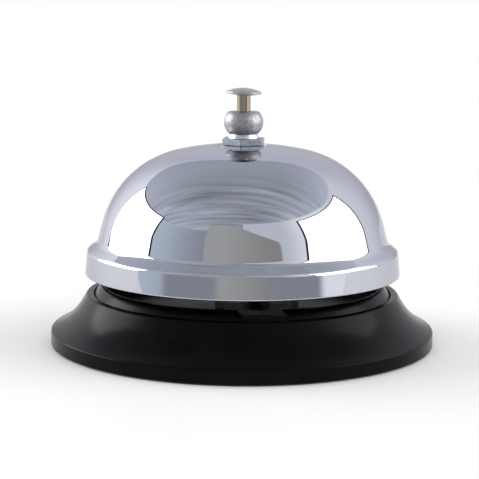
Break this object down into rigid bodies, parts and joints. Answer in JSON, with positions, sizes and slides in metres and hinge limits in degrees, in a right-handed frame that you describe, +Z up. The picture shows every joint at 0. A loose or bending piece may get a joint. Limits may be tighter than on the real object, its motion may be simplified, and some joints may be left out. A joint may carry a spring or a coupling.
{
  "type": "service bell",
  "caption": "Counter call bell: a chromed dome on a black moulded base, rung by a sprung plunger that tips a pivoted striker against the dome.",
  "frame": {"origin": "centre of the foot ring's underside, on the table", "axes": "+Z up along the plunger; the striker swings in the XZ plane with its head on the +X side; the notch in the base is at -Y, the front"},
  "size_m": [0.085, 0.085, 0.0566],
  "materials": {
    "moulded_black": "satin black ABS moulding",
    "foot_rubber": "matt black rubber",
    "dome_chrome": "mirror chrome plate on pressed steel",
    "bright_zinc": "bright zinc plate",
    "barrel_plate": "rough barrel plate on a turned ball",
    "bright_ring": "satin turned aluminium",
    "nickel_rod": "drawn and nickelled steel",
    "nickel_button": "satin nickel",
    "frame_steel": "zinc-plated sheet",
    "spring_steel": "drawn spring wire",
    "fibre": "red vulcanised fibre",
    "black_screw": "blackened screw"
  },
  "bodies": {
    "stand": {"base_skirt": "moulded_black", "base_deck": "moulded_black", "bottom_cover": "moulded_black", "cover_screws": "black_screw", "foot_ring": "foot_rubber", "frame": "frame_steel", "frame_screws": "bright_zinc", "frame_nut": "bright_zinc", "post": "bright_zinc", "seat_nut": "bright_zinc", "seat_washer": "bright_zinc", "seat_pad": "fibre", "dome": "dome_chrome", "lock_nut": "bright_zinc", "collar_ring": "bright_ring", "ball_nut": "barrel_plate", "pivot_pin": "bright_zinc", "pivot_clip": "spring_steel"},
    "plunger": {"plunger_rod": "nickel_rod", "plunger_button": "nickel_button", "push_collar": "bright_zinc", "spring_clip": "spring_steel", "plunger_spring": "spring_steel"},
    "striker": {"striker_arm": "frame_steel", "striker_bush": "bright_zinc", "striker_head": "bright_zinc", "striker_rivet": "bright_zinc"}
  },
  "joints": [
    {"name": "plunger_slide", "type": "slide", "parent": "stand", "child": "plunger", "axis": [0, 0, -1], "range_m": [0, 0.003], "stiffness_N_per_m": 300, "springref_m": -0.003, "deforming": ["plunger_spring"]},
    {"name": "striker_swing", "type": "hinge", "parent": "stand", "child": "striker", "pos_m": [0.0086, 0, 0.03], "axis": [0, -1, 0], "range_deg": [0, 20.5]}
  ],
  "couplings": [
    {"joint": "striker_swing", "follows": "plunger_slide", "rad_per_m": 116.88}
  ]
}
